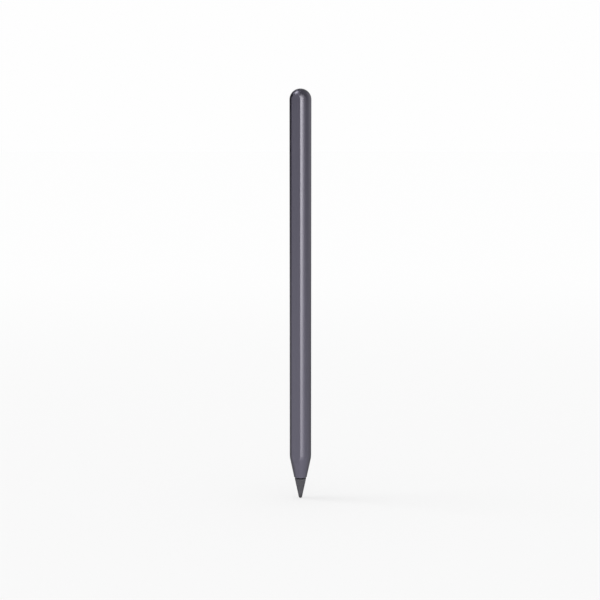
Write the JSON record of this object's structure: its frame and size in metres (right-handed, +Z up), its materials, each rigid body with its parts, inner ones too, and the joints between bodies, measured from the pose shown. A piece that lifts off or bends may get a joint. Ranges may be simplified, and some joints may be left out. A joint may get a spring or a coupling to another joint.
{
  "type": "stylus pen",
  "caption": "Round stylus pen with a flat charging side, a domed end and a tapered nose that ends in a screw-on nib that presses in.",
  "frame": {"origin": "the nib's point, at the bottom of the pen's axis", "axes": "+Z up the pen's axis from the nib to the domed end, -Y out of the flat charging side"},
  "size_m": [0.0088, 0.0084, 0.167],
  "materials": {
    "lacquered_shell": "satin metallic lacquer on moulded polycarbonate",
    "nib_plastic": "moulded conductive acetal, fine matt",
    "moulded_black": "moulded glass-filled nylon",
    "turned_steel": "turned stainless steel",
    "pressed_steel": "tinned pressed steel",
    "brass": "turned brass",
    "silicone": "moulded silicone rubber",
    "foam": "closed-cell foam",
    "circuit_board": "solder-masked glass epoxy",
    "chip": "moulded epoxy",
    "flex": "polyimide film",
    "copper": "enamelled copper wire",
    "ferrite": "sintered ferrite",
    "magnet": "nickel-plated magnet",
    "cell": "film-wrapped cell",
    "sensor": "ceramic force cell"
  },
  "bodies": {
    "barrel": {"barrel": "lacquered_shell", "end_cap": "lacquered_shell", "cap_gasket": "silicone", "tail_pad": "foam", "nose_bush": "moulded_black", "tilt_ring": "brass", "sensor_holder": "moulded_black", "force_sensor": "sensor", "return_spring": "turned_steel", "sensor_flex": "flex", "chassis": "moulded_black", "main_board": "circuit_board", "board_chips": "chip", "shield_can": "pressed_steel", "board_screws": "turned_steel", "power_flex": "flex", "charging_coil": "copper", "ferrite_bar": "ferrite", "magnets": "magnet", "magnet_yokes": "pressed_steel", "battery_board": "circuit_board", "battery": "cell", "battery_pad": "foam"},
    "stem": {"nib_stem": "turned_steel"},
    "washer": {"nib_washer": "silicone"},
    "nib": {"nib": "nib_plastic", "nib_insert": "brass"}
  },
  "joints": [
    {"name": "nib_press", "type": "slide", "parent": "barrel", "child": "stem", "axis": [0, 0, 1], "range_m": [0, 0.0003], "stiffness_N_per_m": 2000, "springref_m": -0.0001, "deforming": ["return_spring"]},
    {"name": "nib_advance", "type": "slide", "parent": "stem", "child": "washer", "axis": [0, 0, -1], "range_m": [0, 0.00245]},
    {"name": "nib_turn", "type": "hinge", "parent": "washer", "child": "nib", "pos_m": [0, 0, 0], "axis": [0, 0, -1], "range_deg": [0, 2520]}
  ],
  "couplings": [
    {"joint": "nib_turn", "follows": "nib_advance", "rad_per_m": 17952}
  ]
}
